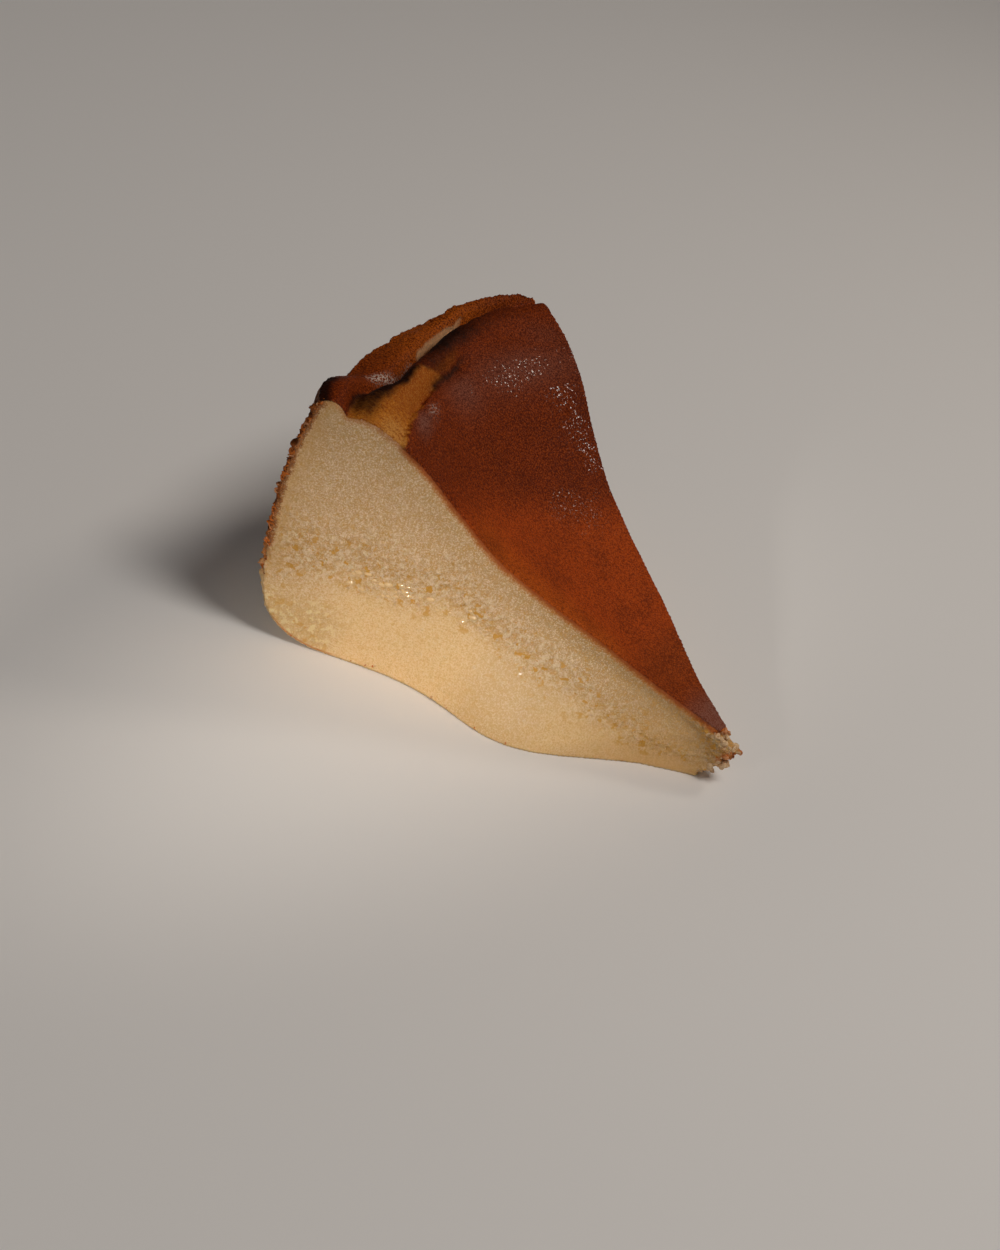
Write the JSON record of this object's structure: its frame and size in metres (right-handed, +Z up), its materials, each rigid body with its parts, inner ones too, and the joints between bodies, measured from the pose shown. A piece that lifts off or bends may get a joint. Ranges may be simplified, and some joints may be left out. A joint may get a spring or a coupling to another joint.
{
  "type": "basque cheesecake slice",
  "caption": "Wedge of burnt cheesecake with a sunken, browned crown, a cracked rim, pleated rind, soft sagging cut faces and a torn tip.",
  "frame": {"origin": "centre of the slice's bounding box, at the flat base it rests on", "axes": "+Z up from the base, +X along the slice from the rind to the tip, the two cut faces towards -Y and +Y"},
  "size_m": [0.107, 0.0874, 0.0589],
  "materials": {
    "cheesecake": "moist, crumbly baked curd with a browned crust"
  },
  "bodies": {
    "root": {"cheesecake_slice": "cheesecake"}
  },
  "joints": []
}
